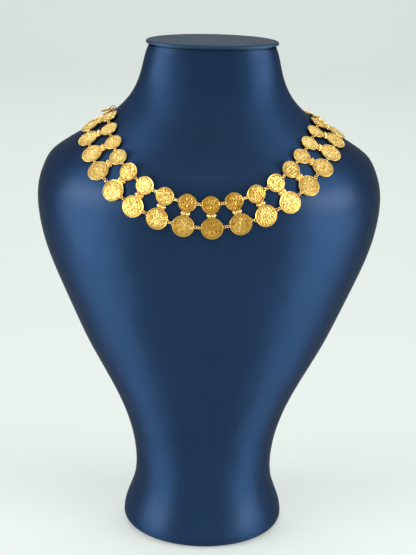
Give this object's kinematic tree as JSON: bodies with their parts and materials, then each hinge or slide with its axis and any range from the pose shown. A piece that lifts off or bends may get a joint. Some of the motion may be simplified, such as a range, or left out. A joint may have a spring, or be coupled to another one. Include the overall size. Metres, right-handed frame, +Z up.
{
  "type": "coin necklace on a neck bust",
  "caption": "Two-row gold coin necklace with ball joints, loose links and a bolt ring clasp, laid round a leatherette neck bust.",
  "frame": {"origin": "centre of the bust's flat base, on the table", "axes": "+Z up through the neck, -Y out of the chest, +X towards the bust's left shoulder"},
  "size_m": [0.2418, 0.1351, 0.36],
  "materials": {
    "bust": "satin navy leatherette",
    "cap": "satin navy leatherette",
    "coins": "struck yellow gold",
    "rings": "polished yellow gold",
    "clasp": "polished yellow gold"
  },
  "bodies": {
    "body": {"bust_body": "bust", "neck_cap": "cap", "coin_pair_01": "coins", "coin_pair_02": "coins", "coin_pair_03": "coins", "coin_pair_04": "coins", "coin_pair_05": "coins", "coin_pair_06": "coins", "coin_pair_07": "coins", "coin_pair_08": "coins", "coin_pair_09": "coins", "coin_pair_10": "coins", "coin_pair_11": "coins", "coin_pair_12": "coins", "coin_pair_13": "coins", "coin_pair_14": "coins", "coin_pair_15": "coins", "coin_pair_16": "coins", "coin_pair_17": "coins", "coin_pair_18": "coins", "coin_pair_19": "coins", "coin_pair_20": "coins", "coin_pair_21": "coins", "coin_pair_22": "coins", "coin_pair_23": "coins", "coin_pair_24": "coins", "coin_pair_25": "coins", "coin_pair_26": "coins", "coin_pair_27": "coins", "end_coin_left": "coins", "end_coin_right": "coins", "inner_rings": "rings", "outer_rings": "rings", "clasp_link": "rings", "clasp_ring": "clasp", "end_ring": "clasp"},
    "clasp_bolt": {"clasp_bolt": "clasp"}
  },
  "joints": [
    {"name": "clasp_bolt_slide", "type": "hinge", "parent": "body", "child": "clasp_bolt", "pos_m": [-0.07136, 0.01728, 0.30689], "axis": [-0.1471, -0.0156, 0.989], "range_deg": [0, 45], "stiffness_Nm_per_rad": 0.001, "springref_deg": -11.46}
  ]
}
